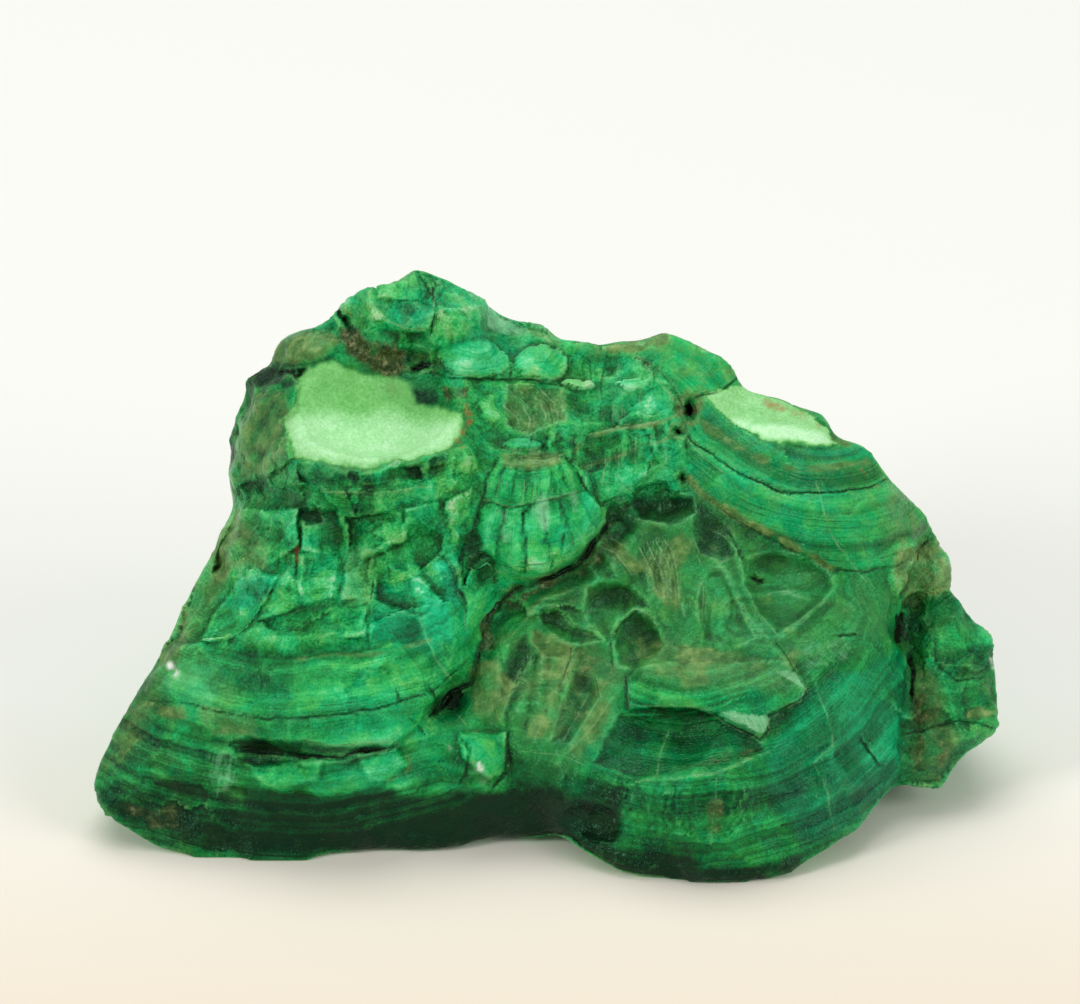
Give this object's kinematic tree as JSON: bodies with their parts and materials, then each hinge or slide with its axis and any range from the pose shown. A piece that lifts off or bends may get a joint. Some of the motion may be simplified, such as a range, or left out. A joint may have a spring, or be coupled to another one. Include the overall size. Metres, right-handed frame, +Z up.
{
  "type": "malachite specimen",
  "caption": "Rough malachite hand specimen: banded green stone with overlapping growth fans, pale worn hollows and a domed back, resting on its flat underside.",
  "frame": {"origin": "centre of the stone's outer box, at the level of the surface it rests on", "axes": "+X along the stone's length, to the right of someone who looks at the broken front; -Y towards them; +Z up"},
  "size_m": [0.1197, 0.0635, 0.0636],
  "materials": {
    "malachite": "satin"
  },
  "bodies": {
    "root": {"malachite": "malachite"}
  },
  "joints": []
}
